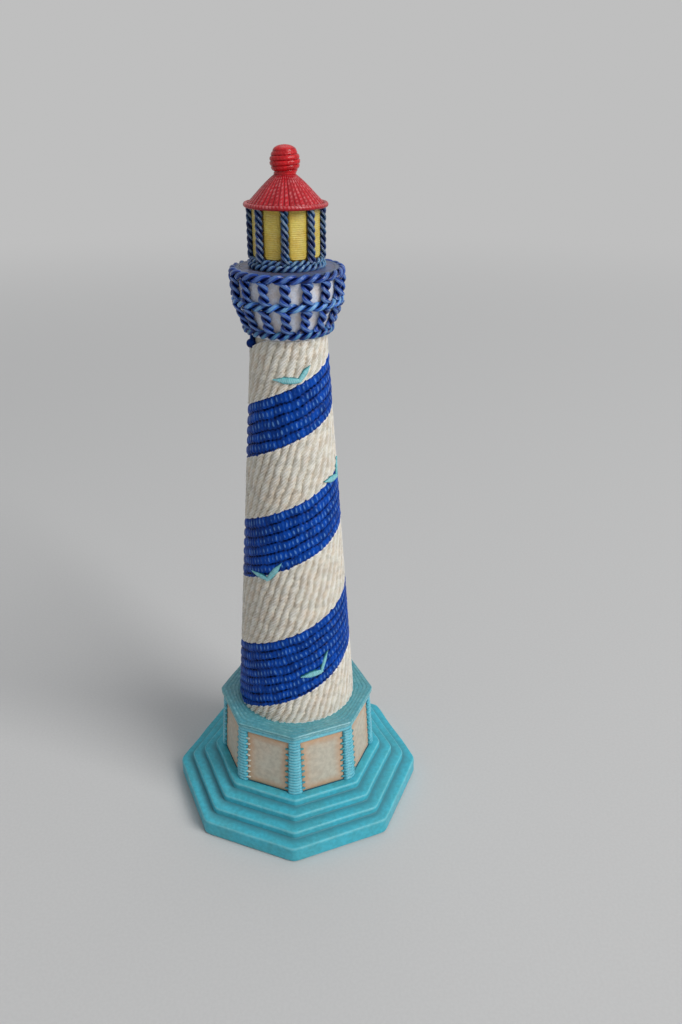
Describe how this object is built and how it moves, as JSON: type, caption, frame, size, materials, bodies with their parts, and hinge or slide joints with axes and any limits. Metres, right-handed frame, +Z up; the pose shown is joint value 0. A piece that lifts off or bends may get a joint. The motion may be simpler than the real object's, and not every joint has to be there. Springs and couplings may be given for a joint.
{
  "type": "garden lighthouse ornament",
  "caption": "Painted ornament in the shape of a lighthouse: stepped octagonal base, panelled plinth, tapered tower with spiral bands, roped gallery, lantern and ribbed roof.",
  "frame": {"origin": "centre of the face that it rests on, below the tower's axis", "axes": "+Z up the tower; a corner of the octagonal base points along -Y"},
  "size_m": [0.1, 0.1, 0.2482],
  "materials": {
    "felt": "matt felt",
    "turquoise_base": "hand-painted resin, gloss",
    "turquoise_thread": "hand-painted resin, gloss",
    "beige_panel": "painted resin with a brown wash, satin",
    "core_resin": "bare cast resin, matt",
    "blue_cord": "hand-painted resin, gloss",
    "cream_cord": "hand-painted resin, satin",
    "gull_turquoise": "hand-painted resin, satin",
    "white_wall": "painted resin, satin",
    "deck_cream": "painted resin, satin",
    "blue_rope": "hand-painted resin, gloss",
    "yellow_pane": "painted resin, satin",
    "red_roof": "hand-painted resin, gloss"
  },
  "bodies": {
    "root": {"felt_pad": "felt", "stepped_base": "turquoise_base", "plinth_drum": "turquoise_base", "side_panels": "beige_panel", "corner_posts": "turquoise_thread", "panel_stitches": "turquoise_thread", "plinth_cap": "turquoise_thread", "tower_core": "core_resin", "blue_band": "blue_cord", "cream_band": "cream_cord", "gulls": "gull_turquoise", "gallery_wall": "white_wall", "gallery_deck": "deck_cream", "gallery_low_rope": "blue_rope", "gallery_mid_rope": "blue_rope", "gallery_rim_rope": "blue_rope", "lower_uprights": "blue_rope", "upper_uprights": "blue_rope", "lantern_core": "core_resin", "lantern_panes": "yellow_pane", "lantern_foot_rope": "blue_rope", "lantern_corner_ropes": "blue_rope", "roof_cone": "red_roof", "roof_brim": "red_roof", "finial": "red_roof"}
  },
  "joints": []
}
